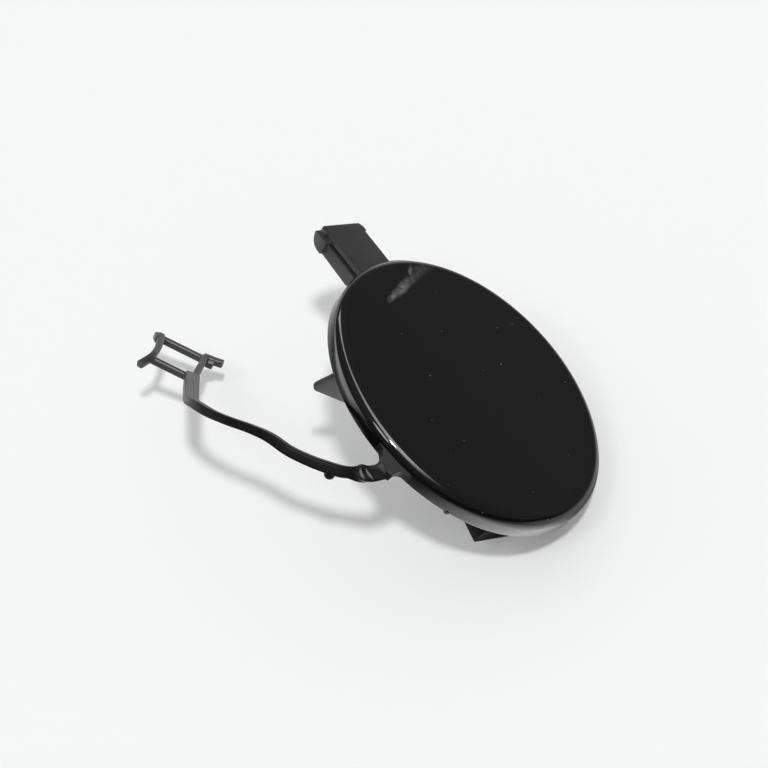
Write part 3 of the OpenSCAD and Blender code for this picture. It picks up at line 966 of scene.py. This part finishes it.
# %% [markdown]
# To the camera the room is plain white, like the table. In the gloss it is pale near
# the horizon ahead, dim elsewhere, with a window low on the left. One long strip lamp
# crosses the ceiling and draws the bright line along the cap's edge. This room is a
# guess that gives the photograph's highlights. The real one is out of the picture.

# %% The room's directions, and patches in it
world = bpy.data.worlds.new("studio")
bpy.context.scene.world = world
world.use_nodes = True
world.node_tree.nodes.clear()
sky = add_node(world, "ShaderNodeTexCoord").outputs["Generated"]


def patch(*edges):
    """A part of the room: the product of smooth steps, each along a direction.

    Each edge is (direction, start, end, low, high), with places from -1 to 1.
    """
    whole = None
    for direction, start, end, low, high in edges:
        place_in_room = add_node(world, "ShaderNodeVectorMath", {"operation": "DOT_PRODUCT"}, {
            0: sky, 1: direction})
        step = add_node(world, "ShaderNodeMapRange", {"interpolation_type": "SMOOTHSTEP"}, {
            "Value": place_in_room, "From Min": start, "From Max": end, "To Min": low, "To Max": high})
        if whole is not None:
            step = add_node(world, "ShaderNodeMath", {"operation": "MULTIPLY"}, {0: whole, 1: step})
        whole = step
    return whole


horizon = patch((UPRIGHT, 0.02, 0.17, 0.55, 0.0), (toward(-20, 0), -0.1, 0.4, 0.0, 1.0))
walls = patch((UPRIGHT, 0.1, 0.19, 0.03, 0.18))
ceiling = patch((UPRIGHT, 0.45, 0.8, 0.0, 0.1))
window = patch((toward(-78, 0), 0.8, 0.95, 0.0, 2.2), (UPRIGHT, 0.22, 0.1, 0.0, 1.0))
print("nodes for the walls, ceiling and window:", len(world.node_tree.nodes))

# %% The strip lamp, narrower and dimmer towards its far end
STRIP_AZIMUTH = -31
strip_dir = toward(STRIP_AZIMUTH, 0)
off_strip = add_node(world, "ShaderNodeVectorMath", {"operation": "DOT_PRODUCT"}, {
    0: sky, 1: toward(STRIP_AZIMUTH + 90, 0)})
distance = add_node(world, "ShaderNodeMath", {"operation": "ABSOLUTE"}, {0: off_strip})
half_width = patch((strip_dir, -0.6, 0.5, 0.3, 0.09))
share_of_width = add_node(world, "ShaderNodeMath", {"operation": "DIVIDE"}, {0: distance, 1: half_width})
beam = add_node(world, "ShaderNodeMapRange", {"interpolation_type": "SMOOTHSTEP"}, {
    "Value": share_of_width, "From Min": 1.0, "From Max": 0.5})
ends = patch(
    (strip_dir, -0.85, -0.5, 0.0, 1.0), (strip_dir, 0.95, 0.88, 0.0, 1.0), (strip_dir, -0.9, 0.1, 9.0, 5.0))
strip = add_node(world, "ShaderNodeMath", {"operation": "MULTIPLY"}, {0: beam, 1: ends})
in_gloss = horizon
for light in (walls, ceiling, strip, window):
    in_gloss = add_node(world, "ShaderNodeMath", {"operation": "ADD"}, {0: in_gloss, 1: light})
print("nodes with the strip lamp:", len(world.node_tree.nodes))

# %% Even light for matt surfaces, gloss for shiny ones, plain white for the camera
EVEN_LIGHT = 0.41
MORE_FROM_LEFT = 0.3
from_left = add_node(world, "ShaderNodeVectorMath", {"operation": "DOT_PRODUCT"}, {
    0: sky, 1: toward(-90, 0)})
even = add_node(world, "ShaderNodeMath", {"operation": "MULTIPLY_ADD"}, {
    0: from_left, 1: MORE_FROM_LEFT, 2: EVEN_LIGHT})
light_path = add_node(world, "ShaderNodeLightPath")
lit = add_node(world, "ShaderNodeMix", {"data_type": "FLOAT"}, {
    "Factor": light_path.outputs["Is Glossy Ray"], "A": even, "B": in_gloss})
lit = add_node(world, "ShaderNodeMix", {"data_type": "FLOAT"}, {
    "Factor": light_path.outputs["Is Camera Ray"], "A": lit, "B": 1.0})
glow = add_node(world, "ShaderNodeBackground", inputs={"Color": linear("#FFFFFF"), "Strength": lit})
add_node(world, "ShaderNodeOutputWorld", inputs={"Surface": glow})

bpy.context.scene.view_settings.view_transform = "Standard"
print("nodes in the room:", len(world.node_tree.nodes))
